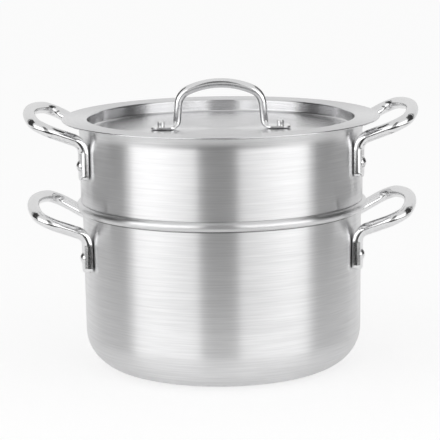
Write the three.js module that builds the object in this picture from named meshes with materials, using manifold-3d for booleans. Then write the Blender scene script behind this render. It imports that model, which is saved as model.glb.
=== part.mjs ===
// Stovetop double boiler: a boiler pot, an insert pan nested in it and a sunken cover, all spun from aluminium,
// with loop handles of forged rod riveted on. Millimetres, +Z up. The origin lies under the boiler on the
// common axis, and the pot handles point along X.

import * as THREE from 'three';
import { mergeVertices } from 'three/addons/utils/BufferGeometryUtils.js';
import Module from 'manifold-3d';

// Boiler pot
const BOILER_DIAMETER = 260; // outside, just under the rim bead
const BOILER_HEIGHT = 157;
const BOILER_WALL = 3;
const BOILER_BASE = 4;
const BOILER_CORNER = 36; // outside radius between wall and base
const BOILER_DRAFT = 0.8; // the wall's lean from rim to corner
const BEAD_HEIGHT = 8.6;
const BEAD_PROUD = 5.5; // rim bead beyond the wall

// Insert pan
const INSERT_PROUD = 1.5; // insert wall beyond the boiler's wall
const INSERT_RISE = 75; // shoulder seat to rim
const INSERT_WALL = 2.5;
const INSERT_BASE = 3;
const NEST_DEPTH = 105; // narrower part hanging below the seat
const NEST_CLEARANCE = 4; // room for the rivet tails in the boiler
const NEST_CORNER = 26;
const SHOULDER_RADIUS = 3; // outside radius between nested part and shoulder
const SHOULDER_EDGE = 0.5; // outside radius between shoulder and upper wall
const SHOULDER_FILLET = 1.5; // inside radius there

// Cover
const COVER_SHEET = 1.5;
const COVER_OVERHANG = 16.3; // flange beyond the insert's wall
const COVER_CLEARANCE = 3.5; // insert's inside to the recess wall
const COVER_DEPTH = 12; // flange top down to the sunken disc
const COVER_BEND = 0.6; // inside radius between flange and recess wall
const COVER_FILLET = 2.5; // inside radius between recess wall and disc

// Loop handles of the two pots
const ROD_DIAMETER = 11.3;
const HANDLE_REACH = 45.8; // wall to the grip's centre line
const HANDLE_TILT = 24.5; // degrees, rising outwards
const TAB_ANGLE = 21.3; // degrees round the pot from the middle of the handle
const LIMB_SPLAY = 26.5; // degrees
const LOOP_CORNER = 14.5;
const TAB_BEND = 14;
const TAB_WIDTH = 16.4;
const TAB_THICKNESS = 6.9;
const TAB_BELOW_RIVET = 13.4;
const TAB_RISE = 21; // rivet up to where tab and limb would meet
const TAB_ROUNDING = 4.5;
const BOILER_RIVET_DROP = 46.4; // rim down to the rivets
const INSERT_RIVET_DROP = 36.2;

// Rivets of the loop handles
const RIVET_SHANK = 6;
const RIVET_HEAD = 10.4;
const RIVET_DOME = 2.8;
const RIVET_TAIL = 11;
const RIVET_TAIL_HEIGHT = 1.6;

// Cover handle
const LEG_DIAMETER = 7.5;
const GRIP_DIAMETER = 9;
const GRIP_RISE = 42.4; // sunken disc to the grip's centre line
const GRIP_RADIUS = 74;
const LEG_SPREAD = 41; // axis to where leg and foot would meet
const LEG_LEAN = 5; // degrees, towards each other going up
const ARCH_CORNER = 16.2;
const FOOT_BEND = 6;
const FOOT_LENGTH = 24.2;
const FOOT_WIDTH = 18;
const FOOT_THICKNESS = 2.4;
const FOOT_ROUNDING = 7;
const FOOT_RIVET = 14.4; // leg to rivet, along the foot

// Rivets of the cover handle
const STUD_SHANK = 4.6;
const STUD_HEAD = 6.9;
const STUD_HEIGHT = 4.5;
const STUD_ROUNDING = 1.6;
const STUD_TAIL = 9;
const STUD_TAIL_HEIGHT = 1.5;

// Fits and facets
const SEAT_GAP = 0.3; // between pieces that rest on each other
const HOLE_CLEARANCE = 0.3; // round a rivet's shank
const POT_FACETS = 48;
const ROD_FACETS = 12;
const RIVET_FACETS = 10;

// Derived places
const BOILER_RADIUS = BOILER_DIAMETER / 2;
const BOILER_FOOT_RADIUS = BOILER_RADIUS - BOILER_DRAFT;
const BOILER_RIVET_Z = BOILER_HEIGHT - BOILER_RIVET_DROP;
const INSERT_RADIUS = BOILER_RADIUS + INSERT_PROUD;
const INSERT_SEAT_Z = BOILER_HEIGHT + SEAT_GAP;
const INSERT_RIM_Z = INSERT_SEAT_Z + INSERT_RISE;
const INSERT_RIVET_Z = INSERT_RIM_Z - INSERT_RIVET_DROP;
const NEST_RADIUS = BOILER_RADIUS - BOILER_WALL - NEST_CLEARANCE;
const COVER_TOP_Z = INSERT_RIM_Z + SEAT_GAP + COVER_SHEET;
const COVER_FLOOR_Z = COVER_TOP_Z - COVER_DEPTH;
const STUD_X = LEG_SPREAD + FOOT_RIVET;
const TAIL_SAG = (RIVET_TAIL / 2) * Math.tan(Math.PI / POT_FACETS); // wall's fall-away under a flat tail

const wasm = await Module();
wasm.setup();

const radians = THREE.MathUtils.degToRad;

/** Closed body made from a geometry: seams welded, empty triangles at the axis left out. */
function solid(geometry) {
  const bare = geometry.clone();
  bare.deleteAttribute('normal');
  bare.deleteAttribute('uv');
  const welded = mergeVertices(bare);
  const corners = welded.index.array;
  const kept = [];
  for (let i = 0; i < corners.length; i += 3) {
    const [a, b, c] = corners.slice(i, i + 3);
    if (a !== b && b !== c && c !== a) {
      kept.push(a, b, c);
    }
  }
  return new wasm.Manifold(new wasm.Mesh({
    numProp: 3,
    vertProperties: new Float32Array(welded.attributes.position.array),
    triVerts: new Uint32Array(kept),
  }));
}

/** Points of an elliptic arc in a profile, angles in degrees, both ends included. */
function arc(centreR, centreZ, radiusR, radiusZ, from, to, steps) {
  const curve = new THREE.EllipseCurve(
    centreR, centreZ, radiusR, radiusZ, radians(from), radians(to), to < from,
  );
  return curve.getPoints(steps);
}

/** Points of a circular arc in a profile. */
function roundArc(centreR, centreZ, radius, from, to, steps) {
  return arc(centreR, centreZ, radius, radius, from, to, steps);
}

/** Point on the axis of a profile. */
function onAxis(z) {
  return new THREE.Vector2(0, z);
}

/** Profile turned about Z. */
function turned(profile, facets) {
  return new THREE.LatheGeometry(profile, facets).rotateX(Math.PI / 2);
}

/** Boiler shell: flat base, big corner, slightly leaning wall and a half-round rim bead. */
function boilerProfile() {
  const cornerR = BOILER_FOOT_RADIUS - BOILER_CORNER;
  const beadZ = BOILER_HEIGHT - BEAD_HEIGHT / 2;
  return [
    onAxis(0),
    ...roundArc(cornerR, BOILER_CORNER, BOILER_CORNER, -90, 0, 5),
    ...arc(BOILER_RADIUS, beadZ, BEAD_PROUD, BEAD_HEIGHT / 2, -90, 90, 6),
    new THREE.Vector2(BOILER_RADIUS - BOILER_WALL, BOILER_HEIGHT),
    ...arc(cornerR, BOILER_CORNER, BOILER_CORNER - BOILER_WALL, BOILER_CORNER - BOILER_BASE, 0, -90, 4),
    onAxis(BOILER_BASE),
  ];
}

/** Insert shell: nested lower part, shoulder that sits on the boiler's rim, upper wall with a rounded rim. */
function insertProfile() {
  const bottom = INSERT_SEAT_Z - NEST_DEPTH;
  const cornerR = NEST_RADIUS - NEST_CORNER;
  const cornerZ = bottom + NEST_CORNER;
  const rootR = NEST_RADIUS + SHOULDER_RADIUS;
  const rootZ = INSERT_SEAT_Z - SHOULDER_RADIUS;
  const filletR = INSERT_RADIUS - INSERT_WALL - SHOULDER_FILLET;
  const filletZ = INSERT_SEAT_Z + INSERT_WALL + SHOULDER_FILLET;
  const lip = INSERT_WALL / 2;
  return [
    onAxis(bottom),
    ...roundArc(cornerR, cornerZ, NEST_CORNER, -90, 0, 4),
    ...roundArc(rootR, rootZ, SHOULDER_RADIUS, 180, 90, 2),
    ...roundArc(INSERT_RADIUS - SHOULDER_EDGE, INSERT_SEAT_Z + SHOULDER_EDGE, SHOULDER_EDGE, -90, 0, 2),
    ...roundArc(INSERT_RADIUS - lip, INSERT_RIM_Z - lip, lip, 0, 180, 2),
    ...roundArc(filletR, filletZ, SHOULDER_FILLET, 0, -90, 1),
    ...roundArc(rootR, rootZ, SHOULDER_RADIUS + INSERT_WALL, 90, 180, 2),
    ...arc(cornerR, cornerZ, NEST_CORNER - INSERT_WALL, NEST_CORNER - INSERT_BASE, 0, -90, 4),
    onAxis(bottom + INSERT_BASE),
  ];
}

/** Cover sheet: sunken disc, recess wall and a flange with a rounded edge, all of one thickness. */
function coverProfile() {
  const wallR = INSERT_RADIUS - INSERT_WALL - COVER_CLEARANCE - COVER_SHEET;
  const filletR = wallR - COVER_FILLET;
  const filletZ = COVER_FLOOR_Z + COVER_FILLET;
  const bendR = wallR + COVER_SHEET + COVER_BEND;
  const bendZ = COVER_TOP_Z - COVER_SHEET - COVER_BEND;
  const edge = COVER_SHEET / 2;
  return [
    onAxis(COVER_FLOOR_Z - COVER_SHEET),
    ...roundArc(filletR, filletZ, COVER_FILLET + COVER_SHEET, -90, 0, 3),
    ...roundArc(bendR, bendZ, COVER_BEND, 180, 90, 2),
    ...roundArc(INSERT_RADIUS + COVER_OVERHANG - edge, COVER_TOP_Z - edge, edge, -90, 90, 2),
    ...roundArc(bendR, bendZ, COVER_BEND + COVER_SHEET, 90, 180, 3),
    ...roundArc(filletR, filletZ, COVER_FILLET, 0, -90, 3),
    onAxis(COVER_FLOOR_Z),
  ];
}

/** Tail and shank of a rivet, from the axis up to the seat of its head. */
function rivetStem(shank, tail, tailHeight, tailSeat, headSeat) {
  const bevel = tailHeight / 3;
  return [
    onAxis(tailSeat - tailHeight),
    new THREE.Vector2(tail / 2 - bevel, tailSeat - tailHeight),
    new THREE.Vector2(tail / 2, tailSeat - tailHeight + bevel),
    new THREE.Vector2(tail / 2, tailSeat),
    new THREE.Vector2(shank / 2, tailSeat),
    new THREE.Vector2(shank / 2, headSeat),
  ];
}

/** Pot rivet along local Z, with a domed head that is part of a sphere. */
function potRivet(tailSeat, headSeat) {
  const rim = RIVET_HEAD / 2;
  const sphere = (rim ** 2 + RIVET_DOME ** 2) / (2 * RIVET_DOME);
  const rise = THREE.MathUtils.radToDeg(Math.acos(rim / sphere));
  return turned([
    ...rivetStem(RIVET_SHANK, RIVET_TAIL, RIVET_TAIL_HEIGHT, tailSeat, headSeat),
    ...roundArc(0, headSeat + RIVET_DOME - sphere, sphere, rise, 90, 4),
  ], RIVET_FACETS);
}

/** Cover rivet along local Z, with a stubby flat-topped head. */
function coverRivet(tailSeat, headSeat) {
  const top = headSeat + STUD_HEIGHT;
  const rim = STUD_HEAD / 2;
  return turned([
    ...rivetStem(STUD_SHANK, STUD_TAIL, STUD_TAIL_HEIGHT, tailSeat, headSeat),
    new THREE.Vector2(rim, headSeat),
    ...roundArc(rim - STUD_ROUNDING, top - STUD_ROUNDING, STUD_ROUNDING, 0, 90, 3),
    onAxis(top),
  ], RIVET_FACETS);
}

/** Arc in space that leaves its first direction and turns towards the second. */
class SpaceArc extends THREE.Curve {
  constructor(centre, from, towards, radius, angle) {
    super();
    Object.assign(this, { centre, from, towards, radius, angle });
  }

  getPoint(t) {
    return this.centre.clone()
      .addScaledVector(this.from, this.radius * Math.cos(t * this.angle))
      .addScaledVector(this.towards, this.radius * Math.sin(t * this.angle));
  }

  getTangent(t) {
    return new THREE.Vector3()
      .addScaledVector(this.from, -Math.sin(t * this.angle))
      .addScaledVector(this.towards, Math.cos(t * this.angle));
  }
}

/** Bend of a given radius where a rod running one way turns at a corner to run another way. */
function bendAt(corner, before, after, radius) {
  const angle = before.angleTo(after);
  const start = corner.clone().addScaledVector(before, -radius * Math.tan(angle / 2));
  const inward = after.clone().addScaledVector(before, -before.dot(after)).normalize();
  const centre = start.clone().addScaledVector(inward, radius);
  return new SpaceArc(centre, inward.negate(), before, radius, angle);
}

/**
 * Bend, corner and grip of half a loop: a limb leaves the corner point in the plane of the directions out and
 * side, and one arc joins it to the grip, which is an arc with its crown a given reach out.
 */
function halfLoop({ tabDirection, corner, out, side, bend, splay, cornerRadius, gripRadius, reach }) {
  const spread = corner.dot(side);
  const direction = (flat) => new THREE.Vector3().addScaledVector(out, flat.x).addScaledVector(side, flat.y);
  const place = (flat) => direction(flat).add(corner).addScaledVector(side, -spread);
  const limb = new THREE.Vector2(Math.cos(radians(splay)), Math.sin(radians(splay)));
  const inward = new THREE.Vector2(limb.y, -limb.x);
  const gripCentre = new THREE.Vector2(reach - gripRadius, 0);
  const offset = new THREE.Vector2(0, spread).addScaledVector(inward, cornerRadius).sub(gripCentre);
  const ahead = offset.dot(limb);
  const limbLength = Math.sqrt(ahead ** 2 - offset.lengthSq() + (gripRadius - cornerRadius) ** 2) - ahead;
  const toCorner = offset.clone().addScaledVector(limb, limbLength);
  const cornerCentre = toCorner.clone().add(gripCentre);
  toCorner.normalize();
  const outward = inward.clone().negate();
  const gripStart = new THREE.Vector2(toCorner.y, -toCorner.x);
  return {
    bendArc: bendAt(corner, tabDirection, direction(limb), bend),
    cornerArc: new SpaceArc(
      place(cornerCentre), direction(outward), direction(limb), cornerRadius, Math.acos(outward.dot(toCorner)),
    ),
    gripArc: new SpaceArc(
      place(gripCentre), direction(toCorner), direction(gripStart), gripRadius, toCorner.angle(),
    ),
  };
}

/** Section between two others. */
function blended(first, second, share) {
  const ease = THREE.MathUtils.smoothstep(share, 0, 1);
  return {
    width: THREE.MathUtils.lerp(first.width, second.width, ease),
    thickness: THREE.MathUtils.lerp(first.thickness, second.thickness, ease),
    power: THREE.MathUtils.lerp(first.power, second.power, ease),
  };
}

/** Section of a round rod. */
function roundSection(diameter) {
  return { width: diameter, thickness: diameter, power: 2 };
}

/** Stations along an arc, with the section going over from one to another. */
function arcStations(curve, steps, first, second) {
  return Array.from({ length: steps + 1 }, (_, step) => ({
    point: curve.getPoint(step / steps),
    tangent: curve.getTangent(step / steps),
    section: blended(first, second, step / steps),
  }));
}

/** Stations of a forged tab's free end, whose two corners are rounded. */
function tabStations(end, direction, section, rounding, steps) {
  return Array.from({ length: steps + 1 }, (_, step) => {
    const turn = (step / steps) * (Math.PI / 2);
    return {
      point: end.clone().addScaledVector(direction, rounding * (1 - Math.cos(turn))),
      tangent: direction,
      section: { ...section, width: section.width - 2 * rounding * (1 - Math.sin(turn)) },
    };
  });
}

/** Rings of points round the stations. The first normal is carried along without twist. */
function rodRings(stations, firstNormal) {
  const normal = firstNormal.clone();
  return stations.map(({ point, tangent, section }, index) => {
    const before = stations[Math.max(index - 1, 0)].tangent;
    normal.applyQuaternion(new THREE.Quaternion().setFromUnitVectors(before, tangent));
    const across = normal.clone().cross(tangent);
    return Array.from({ length: ROD_FACETS }, (_, facet) => {
      const angle = (facet / ROD_FACETS) * 2 * Math.PI;
      const stretch = (value) => Math.sign(value) * Math.abs(value) ** (2 / section.power);
      return point.clone()
        .addScaledVector(across, (section.width / 2) * stretch(Math.cos(angle)))
        .addScaledVector(normal, (section.thickness / 2) * stretch(Math.sin(angle)));
    });
  });
}

/** Closed skin over half a rod's rings and their mirror image across the plane square to an axis. */
function mirroredRod(halfRings, axis) {
  const flip = (point) => point.clone().addScaledVector(axis, -2 * point.dot(axis));
  const mirrored = halfRings.slice(0, -1).reverse().map((ring) => ring.map(flip));
  const rings = [...halfRings, ...mirrored];
  const faces = [];
  for (let ring = 0; ring < rings.length - 1; ring += 1) {
    for (let facet = 0; facet < ROD_FACETS; facet += 1) {
      const near = ring * ROD_FACETS + facet;
      const next = ring * ROD_FACETS + ((facet + 1) % ROD_FACETS);
      faces.push(near, next, next + ROD_FACETS, near, next + ROD_FACETS, near + ROD_FACETS);
    }
  }
  const last = (rings.length - 1) * ROD_FACETS;
  for (let facet = 1; facet < ROD_FACETS - 1; facet += 1) {
    faces.push(0, facet + 1, facet, last, last + facet, last + facet + 1);
  }
  const geometry = new THREE.BufferGeometry().setFromPoints(rings.flat());
  geometry.setIndex(faces);
  return geometry;
}

/** Loop handle on the +X side of a pot: two riveted tabs, splayed limbs and a grip that follows the pot. */
function potHandle(wallRadius, rivetZ) {
  const angle = radians(TAB_ANGLE);
  const tilt = radians(HANDLE_TILT);
  const up = new THREE.Vector3(0, 0, 1);
  const side = new THREE.Vector3(0, 1, 0);
  const radial = new THREE.Vector3(Math.cos(angle), Math.sin(angle), 0);
  const tabRadius = wallRadius + SEAT_GAP + TAB_THICKNESS / 2;
  const corner = radial.clone().multiplyScalar(tabRadius).setZ(rivetZ + TAB_RISE);
  const end = corner.clone().setZ(rivetZ - TAB_BELOW_RIVET);
  const gripRadius = wallRadius + HANDLE_REACH;
  const loop = halfLoop({
    tabDirection: up,
    corner,
    out: new THREE.Vector3(Math.cos(tilt), 0, Math.sin(tilt)),
    side,
    bend: TAB_BEND,
    splay: LIMB_SPLAY,
    cornerRadius: LOOP_CORNER,
    gripRadius,
    reach: (gripRadius - corner.x) / Math.cos(tilt),
  });
  const tab = { width: TAB_WIDTH, thickness: TAB_THICKNESS, power: 5 };
  const rod = roundSection(ROD_DIAMETER);
  const rings = rodRings([
    ...tabStations(end, up, tab, TAB_ROUNDING, 2),
    ...arcStations(loop.bendArc, 5, tab, rod),
    ...arcStations(loop.cornerArc, 5, rod, rod),
    ...arcStations(loop.gripArc, 3, rod, rod).slice(1),
  ], radial);
  return solid(mirroredRod(rings, side));
}

/** Arched cover handle along X: two flat feet, leaning legs and a flat-arched grip. */
function coverHandle() {
  const along = new THREE.Vector3(1, 0, 0);
  const up = new THREE.Vector3(0, 0, 1);
  const footZ = COVER_FLOOR_Z + SEAT_GAP + FOOT_THICKNESS / 2;
  const corner = new THREE.Vector3(LEG_SPREAD, 0, footZ);
  const inwards = along.clone().negate();
  const loop = halfLoop({
    tabDirection: inwards,
    corner,
    out: up,
    side: along,
    bend: FOOT_BEND,
    splay: -LEG_LEAN,
    cornerRadius: ARCH_CORNER,
    gripRadius: GRIP_RADIUS,
    reach: COVER_FLOOR_Z + GRIP_RISE - footZ,
  });
  const end = corner.clone().addScaledVector(along, FOOT_LENGTH);
  const foot = { width: FOOT_WIDTH, thickness: FOOT_THICKNESS, power: 5 };
  const leg = roundSection(LEG_DIAMETER);
  const grip = roundSection(GRIP_DIAMETER);
  const rings = rodRings([
    ...tabStations(end, inwards, foot, FOOT_ROUNDING, 3),
    ...arcStations(loop.bendArc, 4, foot, leg),
    ...arcStations(loop.cornerArc, 4, leg, grip),
    ...arcStations(loop.gripArc, 3, grip, grip).slice(1),
  ], up);
  return solid(mirroredRod(rings, along));
}

/** Turns local Z outwards from the axis at an angle round it, at a height. */
function radialPlace(angle, z) {
  const outwards = new THREE.Vector3(Math.cos(angle), Math.sin(angle), 0);
  const round = new THREE.Vector3(-Math.sin(angle), Math.cos(angle), 0);
  return new THREE.Matrix4().makeBasis(round, new THREE.Vector3(0, 0, 1), outwards).setPosition(0, 0, z);
}

/** Drill for a rivet's hole along local Z between two heights. */
function drill(shank, from, to) {
  return new THREE.CylinderGeometry(
    shank / 2 + HOLE_CLEARANCE, shank / 2 + HOLE_CLEARANCE, to - from, RIVET_FACETS,
  ).rotateX(Math.PI / 2).translate(0, 0, (from + to) / 2);
}

const doubleBoiler = new THREE.Group();
doubleBoiler.name = 'double_boiler';

/** Adds one named piece with a material of its own. */
function addPiece(name, body, color, roughness) {
  const { vertProperties, triVerts } = body.getMesh();
  const geometry = new THREE.BufferGeometry();
  geometry.setAttribute('position', new THREE.BufferAttribute(new Float32Array(vertProperties), 3));
  geometry.setIndex(new THREE.BufferAttribute(new Uint32Array(triVerts), 1));
  geometry.computeVertexNormals();
  const material = new THREE.MeshStandardMaterial({ color, roughness, metalness: 1 });
  const piece = new THREE.Mesh(geometry, material);
  piece.name = name;
  doubleBoiler.add(piece);
}

/** Adds a pot's shell with its two loop handles and four rivets. */
function addPot(pot) {
  const tabs = [
    { name: 'right_front', angle: -radians(TAB_ANGLE) },
    { name: 'right_rear', angle: radians(TAB_ANGLE) },
    { name: 'left_front', angle: Math.PI + radians(TAB_ANGLE) },
    { name: 'left_rear', angle: Math.PI - radians(TAB_ANGLE) },
  ];
  const headSeat = pot.radius + TAB_THICKNESS + 2 * SEAT_GAP;
  const tailSeat = pot.insideAtRivets - TAIL_SAG - SEAT_GAP;
  const hole = drill(RIVET_SHANK, tailSeat - RIVET_TAIL_HEIGHT, headSeat + RIVET_DOME);
  let shell = solid(turned(pot.profile, POT_FACETS));
  let rightHandle = potHandle(pot.radius, pot.rivetZ);
  for (const tab of tabs) {
    const place = radialPlace(tab.angle, pot.rivetZ);
    const cut = solid(hole.clone().applyMatrix4(place));
    shell = shell.subtract(cut);
    rightHandle = rightHandle.subtract(cut);
    const rivet = potRivet(tailSeat, headSeat).applyMatrix4(place);
    addPiece(`${pot.name}_rivet_${tab.name}`, solid(rivet), 0xd6d6da, 0.25);
  }
  addPiece(pot.shellName, shell, 0xbfc1c4, 0.4);
  addPiece(`${pot.name}_handle_right`, rightHandle, 0xd2d2d6, 0.25);
  addPiece(`${pot.name}_handle_left`, rightHandle.rotate([0, 0, 180]), 0xd2d2d6, 0.25);
}

/** Adds the cover sheet with its handle and two rivets. */
function addCover() {
  const tailSeat = COVER_FLOOR_Z - COVER_SHEET - SEAT_GAP;
  const headSeat = COVER_FLOOR_Z + FOOT_THICKNESS + 2 * SEAT_GAP;
  const hole = drill(STUD_SHANK, tailSeat - STUD_TAIL_HEIGHT, headSeat + STUD_HEIGHT);
  let sheet = solid(turned(coverProfile(), POT_FACETS));
  let handle = coverHandle();
  for (const [name, x] of [['left', -STUD_X], ['right', STUD_X]]) {
    const cut = solid(hole.clone().translate(x, 0, 0));
    sheet = sheet.subtract(cut);
    handle = handle.subtract(cut);
    addPiece(`cover_rivet_${name}`, solid(coverRivet(tailSeat, headSeat).translate(x, 0, 0)), 0xd6d6da, 0.25);
  }
  addPiece('cover', sheet, 0xcfd0d2, 0.45);
  addPiece('cover_handle', handle, 0xd2d2d6, 0.25);
}

addPot({
  name: 'boiler',
  shellName: 'boiler_pot',
  profile: boilerProfile(),
  radius: BOILER_RADIUS,
  insideAtRivets: BOILER_RADIUS - BOILER_WALL
    - (BOILER_DRAFT * BOILER_RIVET_DROP) / (BOILER_HEIGHT - BOILER_CORNER),
  rivetZ: BOILER_RIVET_Z,
});
addPot({
  name: 'insert',
  shellName: 'insert_pan',
  profile: insertProfile(),
  radius: INSERT_RADIUS,
  insideAtRivets: INSERT_RADIUS - INSERT_WALL,
  rivetZ: INSERT_RIVET_Z,
});
addCover();

export default doubleBoiler;
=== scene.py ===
"""Looks of a stovetop double boiler: two spun aluminium pots, a sunken cover and riveted rod handles."""

import logging
import math
from dataclasses import astuple, dataclass, replace
from enum import Enum

import bmesh
import bpy
from bmesh.types import BMEdge, BMesh, BMVert
from bpy.types import Material, Node, NodeInputs, NodeOutputs, NodeSocket, NodeTree, Object, World
from mathutils import Matrix, Vector


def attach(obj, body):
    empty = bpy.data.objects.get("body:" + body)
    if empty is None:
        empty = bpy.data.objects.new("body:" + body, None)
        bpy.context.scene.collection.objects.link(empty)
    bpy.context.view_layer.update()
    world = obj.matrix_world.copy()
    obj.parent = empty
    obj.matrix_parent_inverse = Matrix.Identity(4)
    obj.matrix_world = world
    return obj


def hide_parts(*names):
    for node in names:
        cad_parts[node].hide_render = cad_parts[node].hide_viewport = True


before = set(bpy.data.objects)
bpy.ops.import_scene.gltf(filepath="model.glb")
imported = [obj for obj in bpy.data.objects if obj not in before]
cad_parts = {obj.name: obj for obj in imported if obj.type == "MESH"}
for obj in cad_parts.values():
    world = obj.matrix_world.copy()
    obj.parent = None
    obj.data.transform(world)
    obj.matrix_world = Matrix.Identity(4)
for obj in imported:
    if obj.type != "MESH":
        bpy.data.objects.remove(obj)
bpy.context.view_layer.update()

LOG = logging.getLogger("double_boiler")
MM = 0.001
MERGE = 1e-6
SHARP_ANGLE = 40.0
FACE_WEIGHT = 100
SHELL_STEPS = 192
RIVET_STEPS = 32
TURNED_UV = "turned"
# Vertex mask of painted shade that darkens the crease under a bead.
PAINTED_SHADE = "soil"


class Side(Enum):
    """Side of the pots that a handle is on, as a turn about the axis."""

    RIGHT = 0.0
    LEFT = math.pi


class End(Enum):
    """End of a loop handle, as a sign of its rivet's angle."""

    FRONT = -1.0
    REAR = 1.0


class Finish(Enum):
    """Finishes of the metal, by the names of their materials."""

    SHELL = "brushed_shell"
    COVER = "spun_cover"
    ROD = "polished_rod"
    RIVET = "polished_rivet"


class NodeSheet:
    """A node tree that is filled in by short calls."""

    def __init__(self, tree: NodeTree) -> None:
        """Keeps the tree that gets the nodes."""
        self.tree = tree

    @classmethod
    def emptied(cls, owner: Material | World) -> "NodeSheet":
        """Clears the nodes of a material or a world.

        Args:
            owner: The material or world.

        Returns:
            Its empty tree.
        """
        owner.use_nodes = True
        owner.node_tree.nodes.clear()
        return cls(owner.node_tree)

    def feed(self, targets: NodeInputs, values: dict[str | int, object]) -> None:
        """Links sockets to inputs, or sets inputs to plain values.

        Args:
            targets: The inputs.
            values: A socket or a plain value for each input, by its name or number.
        """
        for key, value in values.items():
            if isinstance(value, NodeSocket):
                self.tree.links.new(value, targets[key])
            else:
                targets[key].default_value = value

    def add(self, kind: str, feeds: dict[str | int, object] | None = None, **settings: object) -> Node:
        """Adds a node.

        Args:
            kind: The node's type name.
            feeds: What its inputs get.
            settings: Properties to set on it.

        Returns:
            The new node.
        """
        node = self.tree.nodes.new(kind)
        for name, value in settings.items():
            setattr(node, name, value)
        self.feed(node.inputs, feeds or {})
        return node

    def math(self, operation: str, first: object, second: object = 0.0) -> NodeSocket:
        """Does a sum on one or two sockets or values."""
        return self.add("ShaderNodeMath", {0: first, 1: second}, operation=operation).outputs[0]

    def spread(self, value: NodeSocket, low: float, high: float) -> NodeSocket:
        """Maps a mask from 0 to 1 onto the range from low to high."""
        feeds = {"Value": value, "To Min": low, "To Max": high}
        return self.add("ShaderNodeMapRange", feeds).outputs["Result"]

    def ramp(self, value: NodeSocket, ends: tuple[float, float]) -> NodeSocket:
        """Rises smoothly from 0 at the first end to 1 at the second."""
        feeds = {"Value": value, "From Min": ends[0], "From Max": ends[1]}
        return self.add("ShaderNodeMapRange", feeds, interpolation_type="SMOOTHSTEP").outputs["Result"]

    def noise(self, place: NodeSocket, scale: object, detail: float) -> NodeSocket:
        """Adds a noise that is read at a place, and gives its value."""
        feeds = {"Vector": place, "Scale": scale, "Detail": detail}
        return self.add("ShaderNodeTexNoise", feeds).outputs["Fac"]

    def plain(self, kind: str, level: float) -> NodeSocket:
        """Adds a shader of an even grey, where level 1 is white."""
        return self.add(kind, {"Color": (level, level, level, 1.0)}).outputs[0]

    def glow(self, strength: object) -> NodeSocket:
        """Adds a white glow, whose strength is a socket or a value."""
        return self.add("ShaderNodeEmission", {"Strength": strength}).outputs[0]


class MarkGroup:
    """A node group of marks at a place on the metal, made on its first use.

    Attributes:
        NAME: The group's name.
        NUMBERS: Its inputs besides the place.
        OUTPUTS: Its masks.
    """

    NAME = ""
    NUMBERS: tuple[str, ...] = ()
    OUTPUTS: tuple[str, ...] = ()

    @classmethod
    def tree(cls) -> NodeTree:
        """Gives the group.

        Returns:
            The shared node tree.
        """
        kept = bpy.data.node_groups.get(cls.NAME)
        if kept:
            return kept
        made = bpy.data.node_groups.new(cls.NAME, "ShaderNodeTree")
        made.interface.new_socket("Place", in_out="INPUT", socket_type="NodeSocketVector")
        for name in cls.NUMBERS:
            made.interface.new_socket(name, in_out="INPUT", socket_type="NodeSocketFloat")
        for name in cls.OUTPUTS:
            made.interface.new_socket(name, in_out="OUTPUT", socket_type="NodeSocketFloat")
        sheet = NodeSheet(made)
        cls.fill(sheet, sheet.add("NodeGroupInput").outputs, sheet.add("NodeGroupOutput").inputs)
        return made

    @classmethod
    def fill(cls, sheet: NodeSheet, given: NodeOutputs, result: NodeInputs) -> None:
        """Puts the nodes between what the group is given and its result."""
        raise NotImplementedError


class BrushLines(MarkGroup):
    """Fine lines that run round a turned piece, from its spinning or brushing on a lathe."""

    NAME = "brush_lines"
    NUMBERS = ("Run", "Along", "Across")
    OUTPUTS = ("Lines", "Bands")
    FINENESS = {"Lines": 1.0, "Bands": 0.22}
    OCTAVES = {"Lines": 3.0, "Bands": 2.0}

    @classmethod
    def fill(cls, sheet: NodeSheet, given: NodeOutputs, result: NodeInputs) -> None:
        """Draws the lines and broader bands among them.

        Args:
            sheet: The group's tree.
            given: What goes into the group.
            result: What comes out of it.
        """
        parts = sheet.add("ShaderNodeSeparateXYZ", {0: given["Place"]}).outputs
        for output in cls.OUTPUTS:
            along = sheet.math("MULTIPLY", given["Along"], cls.FINENESS[output])
            across = sheet.math("MULTIPLY", given["Across"], cls.FINENESS[output])
            spot = {axis: sheet.math("MULTIPLY", parts[axis], along) for axis in ("X", "Y")}
            spot["Z"] = sheet.math("MULTIPLY", given["Run"], across)
            place = sheet.add("ShaderNodeCombineXYZ", spot).outputs[0]
            sheet.feed(result, {output: sheet.noise(place, 1.0, cls.OCTAVES[output])})


class HandMarks(MarkGroup):
    """Fine scratches and faint clouds that handling leaves on polished metal."""

    NAME = "hand_marks"
    NUMBERS = ("Fineness",)
    OUTPUTS = ("Scratches", "Clouds")
    STRETCH = (1.0, 0.12, 0.5)
    SLANT = (0.3, 0.2, 0.5)
    SCRATCH_OCTAVES = 4.0
    CLOUD_SCALE = 60.0
    CLOUD_OCTAVES = 2.0

    @classmethod
    def fill(cls, sheet: NodeSheet, given: NodeOutputs, result: NodeInputs) -> None:
        """Draws the scratches and clouds.

        Args:
            sheet: The group's tree.
            given: What goes into the group.
            result: What comes out of it.
        """
        feeds = {"Vector": given["Place"], "Scale": cls.STRETCH, "Rotation": cls.SLANT}
        drawn = sheet.add("ShaderNodeMapping", feeds).outputs[0]
        scratches = sheet.noise(drawn, given["Fineness"], cls.SCRATCH_OCTAVES)
        clouds = sheet.noise(given["Place"], cls.CLOUD_SCALE, cls.CLOUD_OCTAVES)
        sheet.feed(result, {"Scratches": scratches, "Clouds": clouds})


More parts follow.
